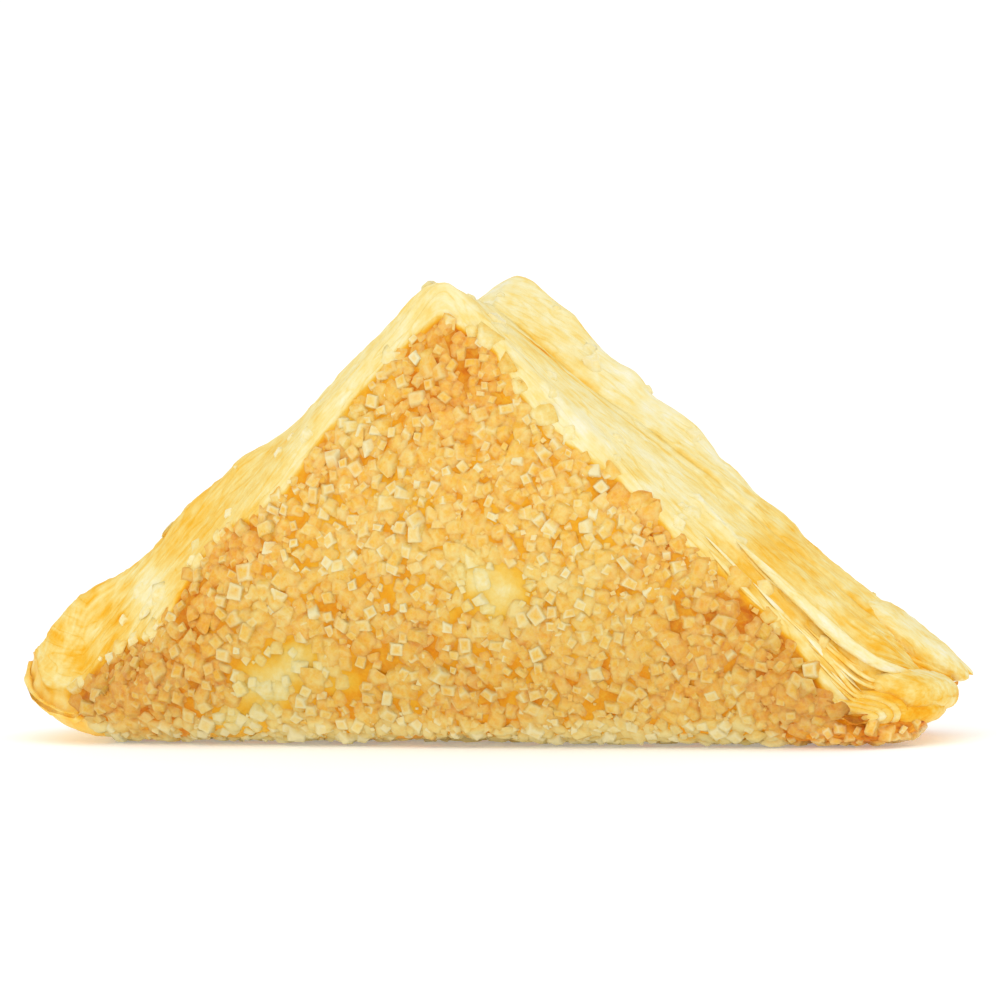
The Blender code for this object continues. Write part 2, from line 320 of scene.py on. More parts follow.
# the rear leaf's rim and the front lip, broken off in lobes and steps: (x, half length, height)
rimLobes = (
    (30.0, 2.6, 0.7), (25.0, 1.4, -0.4), (22.0, 1.6, 0.5), (34.5, 1.2, -0.4), (40.5, 2.2, -0.5),
    (45.0, 2.6, 0.4), (12.5, 1.6, 0.4), (18.0, 2.5, -0.4), (50.0, 8.0, -0.8), (-17.0, 4.0, 0.3),
    (-31.0, 3.0, -0.3),
)
lipLobes = ((-57.0, 5.0, 1.5), (-38.0, 4.0, 1.2), (-31.0, 3.0, 0.7), (-23.0, 4.0, -0.8))
for lobes, away, width in ((rimLobes, fromRearLip, 2.4), (lipLobes, fromLip, 4.0)):
    profile = sum(height * bell(gx, x, length) for x, length, height in lobes)
    relief = relief + profile * bell(away, 0.0, width)
notch = np.round(2.5 * layeredNoise(gx, 0.0, 0.0, 7.0, 83, 2)) / 2.5
relief = relief + 0.45 * notch * bell(fromLip, 0.0, 2.2) * (1.0 - rightSide)
body = plain + bodyNormal * relief[..., None]
tuck = 0.5 * ease(gx, 60.5, 67.0)[..., None]                   # the right nose hides inside the end pieces
body[..., 1:] = body[..., 1:] + tuck * (np.array((1.0, 7.0)) - body[..., 1:])
floorGap = 0.40 + 0.22 * layeredNoise(gx, gy, 0.0, 3.0, 91)
floorGap = floorGap + (0.4 + 0.8 * bell(gx, 3.0, 6.0)) * ease(np.abs(gy), 7.0, 12.0)
body[..., 2] = np.maximum(body[..., 2], floorGap)
bodyNormal = gridNormals(body)

# how far each place is baked, 0 pale to 1 brown; the crevice amount is painted shade put in as bake
baking = {"crust": 0.65, "side": 0.16, "noseWrap": 0.33, "toastGain": 1.33, "mostOnCrust": 0.84,
          "seamMark": 0.80, "seamLine": 0.2, "paintedCreviceShade": 0.12}
# x, z, radius, change: toasted hollows and pale bare places on the front leaf
frontPatches = (
    (-27.5, 28.5, 5.5, 0.20), (-25.0, 37.0, 3.5, 0.08), (-14.0, 40.2, 3.8, 0.16), (2.5, 51.5, 4.5, 0.23),
    (4.5, 57.0, 4.0, 0.20), (9.0, 49.5, 5.0, 0.10), (-2.7, 43.5, 4.0, 0.08), (-0.4, 47.5, 2.2, 0.12),
    (3.0, 44.0, 7.0, 0.06), (18.5, 38.0, 4.0, 0.08), (-18.5, 20.5, 5.0, 0.03), (-34.0, 19.0, 4.5, 0.16),
    (33.0, 26.0, 4.5, 0.10), (40.0, 17.5, 4.5, 0.12), (28.0, 40.0, 3.5, 0.05), (-43.5, 8.0, 7.0, 0.20),
    (50.5, 11.0, 6.0, 0.13), (52.0, 4.0, 5.0, 0.12), (33.0, 7.0, 8.0, 0.04), (-12.4, 6.8, 3.0, 0.14),
    (-31.3, 9.5, 3.2, 0.14), (0.3, 15.3, 4.0, 0.12), (49.5, 14.5, 3.5, 0.08), (5.0, 6.0, 4.0, 0.08),
    (12.0, 21.8, 3.1, -0.46), (7.6, 23.8, 2.8, -0.36), (11.0, 18.0, 2.2, -0.28), (-24.7, 8.0, 4.3, -0.50),
    (-19.0, 12.0, 3.4, -0.42), (-12.5, 8.5, 3.0, -0.36), (-0.2, 52.6, 1.2, -0.32), (-13.0, 25.5, 2.6, -0.14),
    (2.5, 18.5, 2.6, -0.14), (2.0, 10.0, 4.0, -0.05), (14.0, 9.0, 3.0, -0.05), (-30.5, 3.5, 3.0, -0.20),
)
# the same for the open sides
sidePatches = (
    (-55.5, 11.5, 2.4, 0.16), (-60.0, 14.0, 1.6, 0.12), (-44.2, 21.2, 3.6, -0.24), (-57.0, 8.5, 2.0, -0.06),
    (-36.0, 31.0, 4.0, 0.06), (45.0, 25.0, 5.0, 0.09), (58.0, 12.0, 5.0, 0.04), (-27.0, 38.0, 6.0, 0.07),
    (10.0, 56.0, 5.0, 0.03), (-50.0, 18.0, 2.6, 0.08), (20.0, 45.0, 5.0, -0.04),
)
frontward = ease(-gy, -2.0, 2.0)


# round soft patches: changes times e to the minus squared distance over squared radius, added up;
# the toasted ones count for more
def patchSum(patches):
    total = 0.0
    for x, z, radius, change in patches:
        gain = baking["toastGain"] if change > 0.0 else 1.0
        total = total + change * gain * np.exp(-((gx - x) ** 2 + (gz - z) ** 2) / radius ** 2)
    return total


# patches on both leaves: as given on the front one, and mirrored on the rear one
def leafPatches(patches):
    mirrored = [(6.0 - 0.9 * x, 0.96 * z + 1.5, radius, change) for x, z, radius, change in patches]
    return frontward * patchSum(patches) + (1.0 - frontward) * patchSum(mirrored)


crustBake = (baking["crust"] + leafPatches(frontPatches)
             + 0.05 * (1.0 - ease(gz, 8.0, 26.0)) - 0.04 * (1.0 - ease(gz, 0.5, 4.0))
             + 0.09 * layeredNoise(gx, gy, gz, 11.0, 101) + 0.10 * layeredNoise(gx, gy, gz, 3.4, 103)
             - 0.12 * (lumps - 0.6) + 0.08 * ease(reachGrid, 0.60, 0.85)
             + 0.07 * bell(fromFrontEdge, -1.5, 2.5) + 0.07 * bell(fromRearEdge, 1.5, 2.5))
leftward = ease(-gx, 18.0, 34.0) * (1.0 - ease(-gx, 46.0, 56.0))
fineMottle = 0.11 + 0.06 * ease(reachGrid, 0.6, 0.95)
sideBake = (baking["side"] + patchSum(sidePatches) + strokeBake
            + 0.035 * ease(-gx, 2.0, 20.0) + 0.06 * leftward
            + (0.11 - 0.06 * ease(-gx, 20.0, 50.0)) * ease(reachGrid, 0.35, 0.85)
            + 0.18 * ease(reachGrid, 0.95, 1.0)
            + 0.06 * layeredNoise(gx, gy, gz, 7.0, 111) + 0.10 * layeredNoise(gx, gy, gz, 3.2, 119)
            + fineMottle * layeredNoise(gx, gy, gz, 1.2, 121)
            + 0.06 * streaks * (0.3 + 0.7 * layerStrength)
            + 0.08 * (1.0 - saw) * layerStrength * (0.7 + 0.6 * sheetOwn)
            - 0.05 * ease(fromSeam, 1.0, 4.0) * (1.0 - ease(reachGrid, 0.5, 0.8))
            + 0.18 * bell(fromSeam, 0.0, 0.6) * ease(softNoise(gx / 5.0, 0.0, 0.0, 117), -0.3, 0.5)
            + 0.16 * bell(fromRearLip, 0.3, 1.0) * ease(softNoise(gx / 5.0, 0.0, 0.0, 115), -0.4, 0.6)
            + 0.10 * bell(fromLip, 0.4, 1.0) * (1.0 - rightSide))
bake = crustBake * onCrust + sideBake * onSide
bake = bake + noseWrap * (baking["noseWrap"] + 0.20 * layeredNoise(gx, gy, gz, 2.0, 125) - bake)
# a caramel mark and a brown line beside the seam
markNoise = 0.8 + 0.6 * softNoise(gx * 1.2, fromLip * 1.5, 0.0, 77)
seamMark = bell(gx, 11.5, 2.1) * bell(fromLip, 6.3, 0.75) * markNoise
seamLine = ease(gx, 8.0, 12.0) * (1.0 - ease(gx, 28.0, 36.0)) * bell(fromSeam, -2.7, 0.4)
bake = np.clip(bake + baking["seamMark"] * seamMark + baking["seamLine"] * seamLine, 0.0, 1.0)
# painted shade: both crusts grow deeper in colour downwards, as if less light reached them there, and
# lighter again at the very foot
paintedDepthShade = 0.12 + 0.36 * (1.0 - ease(gz, 4.0, 34.0)) - 0.22 * (1.0 - ease(gz, 1.0, 5.0))
# painted shade as a value: a little everywhere, the crusts' downward shade, and the open sides painted
# darker low down
paintedShade = 0.02 + onCrust * paintedDepthShade * (1.0 - noseWrap) + 0.10 * onSide * (1.0 - ease(gz, 4.0, 16.0))
# painted shade in the crevices between the sheets of dough on the open sides, put in as deeper bake
paintedCreviceShade = np.clip(layerStrength * (1.0 - saw) ** 2 * 1.2, 0.0, 1.0)
mostBaked = baking["mostOnCrust"] + (1.0 - baking["mostOnCrust"]) * onSide         # no crust is burnt
bake = np.clip(bake + baking["paintedCreviceShade"] * onSide * paintedCreviceShade, 0.0, mostBaked)
print("baking worked out")


# vertices in millimetres become a piece in the part's own frame, with its faces and its named point values
def buildMesh(name, vertices, faces, material, values, smooth=True):
    mesh = bpy.data.meshes.new(name)
    points = np.asarray(vertices, dtype=np.float64).reshape(-1, 3) - (stationShift, 0.0, 0.0)
    mesh.from_pydata((points * millimetre).tolist(), [], faces)
    for label, data in values.items():
        data = np.asarray(data, dtype=np.float32)
        layer = mesh.attributes.new(label, "FLOAT_VECTOR" if data.ndim == 2 else "FLOAT", "POINT")
        layer.data.foreach_set("vector" if data.ndim == 2 else "value", data.ravel())
    mesh.polygons.foreach_set("use_smooth", np.full(len(mesh.polygons), smooth))
    mesh.materials.append(material)
    mesh.update()
    piece = bpy.data.objects.new(name, mesh)
    bpy.context.scene.collection.objects.link(piece)
    return piece


# faces of a closed tube: quads between neighbouring rings, and a fan round the point at each end
def tubeFaces(rows, columns):
    i = np.arange(rows - 1)[:, None] * columns
    j = np.arange(columns)
    k = (j + 1) % columns
    last = (rows - 1) * columns
    return (np.stack((i + j, i + columns + j, i + columns + k, i + k), axis=-1).reshape(-1, 4),
            np.stack((j, k, np.full(columns, rows * columns)), axis=-1),
            np.stack((last + k, last + j, np.full(columns, rows * columns + 1)), axis=-1))


# screen colour to linear light: c / 12.92 where dark, elsewhere ((c + 0.055) / 1.055) to the power 2.4
def srgb(red, green, blue):
    def linear(value):  # one channel, 0 to 255
        value = value / 255.0
        return value / 12.92 if value <= 0.04045 else ((value + 0.055) / 1.055) ** 2.4
    return (linear(red), linear(green), linear(blue), 1.0)


# an empty node group with its named inputs (name, kind, default) and outputs (name, kind)
def newGroup(name, inputs, outputs):
    group = bpy.data.node_groups.new(name, "ShaderNodeTree")
    for label, kind, value in inputs:
        socket = group.interface.new_socket(name=label, in_out="INPUT", socket_type=kind)
        if value is not None:
            socket.default_value = value
    for label, kind in outputs:
        group.interface.new_socket(name=label, in_out="OUTPUT", socket_type=kind)
    return group, group.nodes.new("NodeGroupInput"), group.nodes.new("NodeGroupOutput")


# a node with its settings; plain socket values are given by socket name
def addNode(tree, kind, settings=None, **sockets):
    node = tree.nodes.new(kind)
    for label, value in (settings or {}).items():
        setattr(node, label, value)
    for label, value in sockets.items():
        node.inputs[label.replace("_", " ")].default_value = value
    return node


# one Math node between two sockets or numbers
def combine(tree, operation, first, second, clamp=False):
    node = tree.nodes.new("ShaderNodeMath")
    node.operation = operation
    node.use_clamp = clamp
    for socket, value in zip(node.inputs, (first, second)):
        if isinstance(value, (int, float)):
            socket.default_value = value
        else:
            tree.links.new(value, socket)
    return node.outputs[0]


# the sum of two sockets or numbers
def plus(tree, first, second, clamp=False):
    return combine(tree, "ADD", first, second, clamp)


# the first less the second
def minus(tree, first, second, clamp=False):
    return combine(tree, "SUBTRACT", first, second, clamp)


# the product of the two
def times(tree, first, second, clamp=False):
    return combine(tree, "MULTIPLY", first, second, clamp)


# a noise texture over some coordinates
def noiseOver(tree, vector, **sockets):
    node = addNode(tree, "ShaderNodeTexNoise", **sockets)
    tree.links.new(vector, node.inputs["Vector"])
    return node


# the place on the pastry, in metres
def objectCoords(tree):
    return addNode(tree, "ShaderNodeTexCoord").outputs["Object"]


# how far a noise is from its middle value, times an amount
def swing(tree, noise, amount):
    return times(tree, minus(tree, noise.outputs["Fac"], 0.5), amount)


# a bump from a height to the shader's normal
def addBump(tree, shader, height, strength, distance):
    bump = addNode(tree, "ShaderNodeBump", Strength=strength, Distance=distance)
    tree.links.new(height, bump.inputs["Height"])
    tree.links.new(bump.outputs["Normal"], shader.inputs["Normal"])


# a value that the mesh carries at its points
def attributeOf(tree, label, output="Fac"):
    node = tree.nodes.new("ShaderNodeAttribute")
    node.attribute_name = label
    return node.outputs[output]


# mix of two colours; factor and colours are sockets or plain values
def mixColours(tree, factor, first, second):
    node = addNode(tree, "ShaderNodeMix", {"data_type": "RGBA"})
    for index, value in ((0, factor), (6, first), (7, second)):
        if isinstance(value, bpy.types.NodeSocket):
            tree.links.new(value, node.inputs[index])
        else:
            node.inputs[index].default_value = value
    return node.outputs[2]


# how far baked, and the dough's colour there
bakeStops = (
    (0.00, (252, 246, 214)), (0.12, (252, 239, 180)), (0.24, (251, 226, 142)), (0.36, (250, 209, 102)),
    (0.48, (250, 191, 56)), (0.60, (249, 174, 24)), (0.74, (242, 151, 12)), (0.88, (214, 111, 8)),
    (1.00, (152, 63, 8)),
)


# group: how far the dough is baked, mottled by noise, turned into its colour
def bakedColourGroup():
    group, enter, leave = newGroup("bakedColour", (
        ("Bake", "NodeSocketFloat", 0.5), ("Mottle", "NodeSocketFloat", 0.2),
        ("Mottle Scale", "NodeSocketFloat", 400.0), ("Streak", "NodeSocketFloat", 0.0),
        ("Lay", "NodeSocketVector", None)), (("Colour", "NodeSocketColor"), ("Baked", "NodeSocketFloat")))
    noise = noiseOver(group, objectCoords(group), Detail=5.0, Roughness=0.62)
    group.links.new(enter.outputs["Mottle Scale"], noise.inputs["Scale"])
    fibre = noiseOver(group, enter.outputs["Lay"], Scale=1.0, Detail=4.0, Roughness=0.6)
    mottled = plus(group, enter.outputs["Bake"], swing(group, noise, enter.outputs["Mottle"]))
    baked = plus(group, mottled, swing(group, fibre, enter.outputs["Streak"]), True)
    ramp = addNode(group, "ShaderNodeValToRGB")
    while len(ramp.color_ramp.elements) < len(bakeStops):
        ramp.color_ramp.elements.new(0.5)
    for element, (place, colour) in zip(ramp.color_ramp.elements, bakeStops):
        element.position = place
        element.color = srgb(*colour)
    group.links.new(baked, ramp.inputs["Fac"])
    group.links.new(ramp.outputs["Color"], leave.inputs["Colour"])
    group.links.new(baked, leave.inputs["Baked"])
    return group


# group: blisters and dry grain, as a height for a Bump node
def crustReliefGroup():
    group, enter, leave = newGroup("crustRelief", (
        ("Blister Scale", "NodeSocketFloat", 450.0), ("Grain Scale", "NodeSocketFloat", 2200.0),
        ("Grain Share", "NodeSocketFloat", 0.3)), (("Height", "NodeSocketFloat"),))
    coords = objectCoords(group)
    blister = noiseOver(group, coords, Detail=4.0, Roughness=0.55)
    grain = noiseOver(group, coords, Detail=3.0, Roughness=0.6)
    for node, label in ((blister, "Blister Scale"), (grain, "Grain Scale")):
        group.links.new(enter.outputs[label], node.inputs["Scale"])
    fine = times(group, grain.outputs["Fac"], enter.outputs["Grain Share"])
    group.links.new(plus(group, blister.outputs["Fac"], fine), leave.inputs["Height"])
    return group


# group: painted shade, a colour multiplied towards deep gold where the shade value says so
def paintedShadeGroup():
    group, enter, leave = newGroup("paintedShadeTint", (
        ("Colour", "NodeSocketColor", None), ("Shade", "NodeSocketFloat", 0.0)),
        (("Colour", "NodeSocketColor"),))
    withPaintedShade = addNode(group, "ShaderNodeMix", {"data_type": "RGBA", "blend_type": "MULTIPLY"})
    withPaintedShade.inputs[7].default_value = (0.60, 0.56, 0.30, 1.0)
    group.links.new(enter.outputs["Shade"], withPaintedShade.inputs[0])
    group.links.new(enter.outputs["Colour"], withPaintedShade.inputs[6])
    group.links.new(withPaintedShade.outputs[2], leave.inputs["Colour"])
    return group


# group: melted sugar seen in the glaze, cells of random milkiness with pale rims, in two sizes
def sugarGlazeGroup():
    group, enter, leave = newGroup("sugarGlaze", (
        ("Colour", "NodeSocketColor", None), ("Milk", "NodeSocketColor", srgb(252, 206, 74)),
        ("Strength", "NodeSocketFloat", 1.0), ("Scale", "NodeSocketFloat", 620.0)),
        (("Colour", "NodeSocketColor"),))
    coords = objectCoords(group)
    milk = 0.0
    for share, finer in ((0.62, 1.0), (0.38, 2.4)):
        size = times(group, enter.outputs["Scale"], finer)
        cells = addNode(group, "ShaderNodeTexVoronoi", {"feature": "F1"})
        edges = addNode(group, "ShaderNodeTexVoronoi", {"feature": "DISTANCE_TO_EDGE"})
        parts = addNode(group, "ShaderNodeSeparateColor")
        for node in (cells, edges):
            group.links.new(coords, node.inputs["Vector"])
            group.links.new(size, node.inputs["Scale"])
        group.links.new(cells.outputs["Color"], parts.inputs[0])
        rim = minus(group, 1.0, times(group, edges.outputs["Distance"], 7.0), True)
        own = combine(group, "POWER", parts.outputs[0], 2.4)
        cloud = plus(group, times(group, own, 0.75 * share), times(group, rim, 0.35 * share))
        milk = plus(group, cloud, milk)
    strength = times(group, milk, enter.outputs["Strength"], True)
    group.links.new(mixColours(group, strength, enter.outputs["Colour"], enter.outputs["Milk"]),
                    leave.inputs["Colour"])
    return group


bakedColour = bakedColourGroup()
paintedShadeTint = paintedShadeGroup()
crustRelief = crustReliefGroup()
sugarGlaze = sugarGlazeGroup()


# a Principled material; plain socket values are given by socket name
def newMaterial(name, **sockets):
    material = bpy.data.materials.new(name)
    material.use_nodes = True
    tree = material.node_tree
    shader = tree.nodes["Principled BSDF"]
    for label, value in sockets.items():
        shader.inputs[label.replace("_", " ")].default_value = value
    return material, tree, shader


# a group placed in a material: its inputs are sockets or plain values
def placeGroup(tree, group, **inputs):
    node = tree.nodes.new("ShaderNodeGroup")
    node.node_tree = group
    for label, value in inputs.items():
        socket = node.inputs[label.replace("_", " ")]
        if isinstance(value, bpy.types.NodeSocket):
            tree.links.new(value, socket)
        else:
            socket.default_value = value
    return node


doughFinish = {"mottle": 0.22, "crustMottle": 0.35, "mottleScale": 420.0, "glaze": 0.6, "coat": 0.06,
               "roughness": 0.36, "dryRoughness": 0.22, "lineSharpness": 34.0, "lineBake": 0.08,
               "lineHeight": 0.2, "fibreHeight": 0.45, "bump": 0.6, "bumpDepth": 0.00035}


# baked dough: colour from how far it is baked; syrup makes the crust glossier than the open sides
def doughMaterial():
    finish = doughFinish
    material, tree, shader = newMaterial("bakedDough", Specular_IOR_Level=0.12, Coat_Roughness=0.2)
    syrup = attributeOf(tree, "syrup")
    lay = attributeOf(tree, "lay", "Vector")
    dry = minus(tree, 1.0, syrup)
    # thin edges of leaves: lines where a long-drawn noise crosses its middle value
    drawn = noiseOver(tree, lay, Scale=0.28, Detail=1.5, Roughness=0.5)
    crossing = combine(tree, "ABSOLUTE", minus(tree, drawn.outputs["Fac"], 0.5), 0.0)
    line = times(tree, minus(tree, 1.0, times(tree, crossing, finish["lineSharpness"]), True), dry)
    colour = placeGroup(tree, bakedColour, Mottle_Scale=finish["mottleScale"], Lay=lay,
                        Bake=plus(tree, attributeOf(tree, "bake"), times(tree, line, finish["lineBake"])),
                        Mottle=plus(tree, times(tree, syrup, finish["crustMottle"]), finish["mottle"]),
                        Streak=attributeOf(tree, "streak"))
    glaze = placeGroup(tree, sugarGlaze, Colour=colour.outputs["Colour"],
                       Strength=times(tree, syrup, finish["glaze"]))
    # painted shade on the dough's colour, from its shade value
    withPaintedShade = placeGroup(tree, paintedShadeTint, Colour=glaze.outputs["Colour"], Shade=attributeOf(tree, "paintedShade"))
    roughness = plus(tree, times(tree, dry, finish["dryRoughness"]), finish["roughness"])
    tree.links.new(withPaintedShade.outputs["Colour"], shader.inputs["Base Color"])
    tree.links.new(times(tree, syrup, finish["coat"]), shader.inputs["Coat Weight"])
    tree.links.new(roughness, shader.inputs["Roughness"])
    fibre = noiseOver(tree, lay, Scale=2.6, Detail=3.0, Roughness=0.6)
    ridges = plus(tree, times(tree, times(tree, fibre.outputs["Fac"], dry), finish["fibreHeight"]),
                  times(tree, line, finish["lineHeight"]))
    height = plus(tree, placeGroup(tree, crustRelief).outputs["Height"], ridges)
    addBump(tree, shader, height, finish["bump"], finish["bumpDepth"])
    return material


sugarFinish = {"mottle": 0.6, "mottleScale": 1300.0, "inner": 0.45, "innerScale": 800.0,
               "innerColour": (254, 234, 155), "cloudScale": 1000.0, "rimPower": 2.5, "bump": 0.5,
               "bumpDepth": 0.0002}


# sugar: its colour runs from the baked syrup under it to milky white, cloudy inside and palest at its rims,
# the rims and the random milkiness of each flat side being partly painted highlight and glint; painted shade
# then deepens it
def sugarMaterial(name, roughness, milkColour):
    finish = sugarFinish
    material, tree, shader = newMaterial(name, Roughness=roughness, IOR=1.5, Specular_IOR_Level=0.4)
    colour = placeGroup(tree, bakedColour, Bake=attributeOf(tree, "bake"), Mottle=finish["mottle"],
                        Mottle_Scale=finish["mottleScale"])
    inner = placeGroup(tree, sugarGlaze, Colour=colour.outputs["Colour"], Milk=srgb(*finish["innerColour"]),
                       Strength=finish["inner"], Scale=finish["innerScale"])
    cloud = noiseOver(tree, objectCoords(tree), Scale=finish["cloudScale"], Detail=3.0, Roughness=0.6)
    # pale rims: partly the sugar's own milky edges, partly a painted highlight along its edges
    edge = combine(tree, "POWER", attributeOf(tree, "rim"), finish["rimPower"])
    milk = plus(tree, plus(tree, attributeOf(tree, "milk"), swing(tree, cloud, 1.0)), edge)
    milk = times(tree, milk, attributeOf(tree, "free"), True)
    mixed = mixColours(tree, milk, inner.outputs["Colour"], srgb(*milkColour))
    # painted shade on the sugar's colour, from its shade value
    withPaintedShade = placeGroup(tree, paintedShadeTint, Colour=mixed, Shade=attributeOf(tree, "paintedShade"))
    tree.links.new(withPaintedShade.outputs["Colour"], shader.inputs["Base Color"])
    height = placeGroup(tree, crustRelief, Blister_Scale=1300.0, Grain_Scale=4000.0)
    addBump(tree, shader, height.outputs["Height"], finish["bump"], finish["bumpDepth"])
    return material


doughLook = doughMaterial()
crispLook = sugarMaterial("crispSugar", 0.25, (250, 237, 186))
meltedLook = sugarMaterial("meltedSugar", 0.32, (248, 228, 158))
chipLook = sugarMaterial("sugarChips", 0.35, (249, 234, 178))
print("materials made")


# a grid's values in the order of a tube's vertices, its two end points last
def withTips(grid):
    tips = grid[[0, -1]].mean(axis=1)
    return np.concatenate((grid.reshape((-1,) + grid.shape[2:]), tips))


# the pastry's body: syrup on the crust, fibres that lie down the slope on the open sides
rows, columns = body.shape[:2]
bodyFaces = [face for faces in tubeFaces(rows, columns) for face in faces.tolist()]
syrup = np.clip(onCrust * (0.85 + 0.5 * layeredNoise(gx, gy, gz, 6.0, 141)), 0.0, 1.0)
lay = np.stack((along / 2.6, across * 1.3, gy * 0.3), axis=-1)
bodyValues = {"bake": bake, "syrup": syrup, "paintedShade": paintedShade, "streak": 0.32 * onSide, "lay": lay}
pastryBody = buildMesh("pastryBody", withTips(body), bodyFaces, doughLook,
                       {label: withTips(grid) for label, grid in bodyValues.items()})
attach(pastryBody, "root")
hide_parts("pastry")
print("body", len(bodyFaces), "faces")


# value of a grid at fractional rows and columns, blended from the four nearest points
def sampleGrid(grid, row, column):
    i = np.clip(np.floor(row).astype(int), 0, grid.shape[0] - 2)
    j = np.floor(column).astype(int) % grid.shape[1]
    k = (j + 1) % grid.shape[1]
    a, b = row - i, column - np.floor(column)
    if grid.ndim == 3:
        a, b = a[..., None], b[..., None]
    return (grid[i, j] * (1 - a) * (1 - b) + grid[i + 1, j] * a * (1 - b)
            + grid[i, k] * (1 - a) * b + grid[i + 1, k] * a * b)


# leaves and flakes: strips of dough, each a flattened tube carried along a path
strip = {"squareness": 0.75, "ripple": 0.22, "rippleSize": 2.6, "ragged": 0.12}


# curve through the rows of a table, spread evenly over the wanted number of rings
def smoothPath(table, rings):
    table = np.asarray(table, float)
    padded = np.concatenate((2.0 * table[:1] - table[1:2], table, 2.0 * table[-1:] - table[-2:-1]))
    place = np.linspace(0.0, len(table) - 1.0, rings)
    span = np.minimum(np.floor(place).astype(int), len(table) - 2)
    t = (place - span)[:, None]
    return curveBetween(*(padded[span + s] for s in range(4)), t)


# one strip: rows of x, y, z, half width, half thickness. Each section is a squared ellipse, width times a
# power of cosine along the width direction and thickness times a power of sine across it. Gives the
# points, how near each is to the strip's edges, and its place along, across and through the strip
def stripPoints(table, widthWay, rings, columns, seed):
    rows = smoothPath(table, rings)
    path, half, thick = rows[:, :3], rows[:, 3], rows[:, 4]
    ahead = unit(np.gradient(path, axis=0))
    widthWay = np.asarray(widthWay, float)
    wide = unit(widthWay - ahead * (ahead @ widthWay)[:, None])
    proud = np.cross(ahead, wide)
    angle = np.linspace(0.0, 2.0 * math.pi, columns, endpoint=False)[None, :]
    power = strip["squareness"]
    c = np.sign(np.cos(angle)) * np.abs(np.cos(angle)) ** power
    n = np.sign(np.sin(angle)) * np.abs(np.sin(angle)) ** power
    end = np.linspace(0.0, 1.0, rings)
    close = np.sqrt(np.clip(1.0 - np.abs(2.0 * end - 1.0) ** 12, 0.02, 1.0))[:, None]
    x, y, z = (path[:, axis, None] for axis in range(3))
    edge = 1.0 + strip["ragged"] * layeredNoise(x, y + 3.0 * c, z, 1.6, seed)
    ripples = layeredNoise(x, y + half[:, None] * c, z, strip["rippleSize"], seed + 5)
    lift = strip["ripple"] * ripples * thick[:, None]
    across = half[:, None] * c * edge * close
    points = (path[:, None] + wide[:, None] * across[..., None]
              + proud[:, None] * (thick[:, None] * n * close + lift)[..., None])
    run = np.cumsum(np.linalg.norm(np.diff(path, axis=0, prepend=path[:1]), axis=1))[:, None]
    lay = np.stack(np.broadcast_arrays(run / 2.6, across * 1.3, thick[:, None] * n * 1.3), axis=-1)
    return points, np.abs(c) * np.ones_like(x), lay


# strips joined into one mesh; each entry is (table, width direction, bake, extra at the edges, syrup)
def buildStrips(name, entries, settings):
    rings, columns, seed = (settings[key] for key in ("rings", "columns", "seed"))
    vertices, faces = [], []
    values = {"bake": [], "syrup": [], "paintedShade": [], "lay": [], "streak": []}
    tube = tubeFaces(rings, columns)
    for number, (table, widthWay, base, edgeBake, glaze) in enumerate(entries):
        points, edge, lie = stripPoints(table, widthWay, rings, columns, seed + number)
        turn = 1 if windsOutward(points) else -1
        for part in tube:
            faces += (part[:, ::turn] + number * (rings * columns + 2)).tolist()
        x, y, z = points[..., 0], points[..., 1], points[..., 2]
        # bake with darker edges; the sixth-power term is painted shade where the strip's edges tuck against
        # the dough
        baked = base + edgeBake * edge ** 3 + 0.08 * edge ** 6 + 0.20 * layeredNoise(x, y, z, 2.4, seed + 3)
        vertices.append(withTips(points))
        # the strips' painted shade: a little everywhere and more low down
        for label, grid in (("bake", np.clip(baked, 0.0, 1.0)), ("syrup", np.full(x.shape, glaze)),
                            ("paintedShade", 0.03 + 0.08 * (1.0 - ease(z, 3.0, 14.0))),
                            ("lay", lie + 7.0 * number), ("streak", np.full(x.shape, 0.6))):
            values[label].append(withTips(grid))
    piece = buildMesh(name, np.concatenate(vertices), faces, doughLook,
                      {label: np.concatenate(grids) for label, grids in values.items()})
    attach(piece, "root")
    print(name, len(entries), "strips", sum(len(face) - 2 for face in faces), "triangles")


# whether the tube's faces look away from its middle line
def windsOutward(points):
    normals = gridNormals(points)
    outward = points - points.mean(axis=1, keepdims=True)
    return float((normals * outward).sum()) > 0.0


# a place on the body from the station and the millimetres past the front crust's edge
def onBody(x, away, lift):
    row = np.interp(x, stations, np.arange(len(stations)))
    i = min(int(row), len(stations) - 2)
    share = row - i
    line = (1.0 - share) * fromFrontEdge[i] + share * fromFrontEdge[i + 1]
    column = np.interp(away, line, np.arange(columns))
    place = np.array([row]), np.array([column])
    normal = sampleGrid(bodyNormal, *place)[0]
    return sampleGrid(body, *place)[0] + lift * normal / np.linalg.norm(normal), normal


# a strip laid on the body's side through (x, away) points, tapered like part of a sine
def laidStrip(points, half, thick, lift, base, edgeBake):
    places = [onBody(x, away, lift) for x, away in points]
    share = np.sin(np.linspace(0.12, 0.88, len(points)) * math.pi)
    table = [(*place, half * taper, thick * taper) for (place, _), taper in zip(places, share)]
    normal = np.mean([way for _, way in places], axis=0)
    ahead = places[-1][0] - places[0][0]
    return (table, np.cross(normal, ahead), base, edgeBake, 0.1)


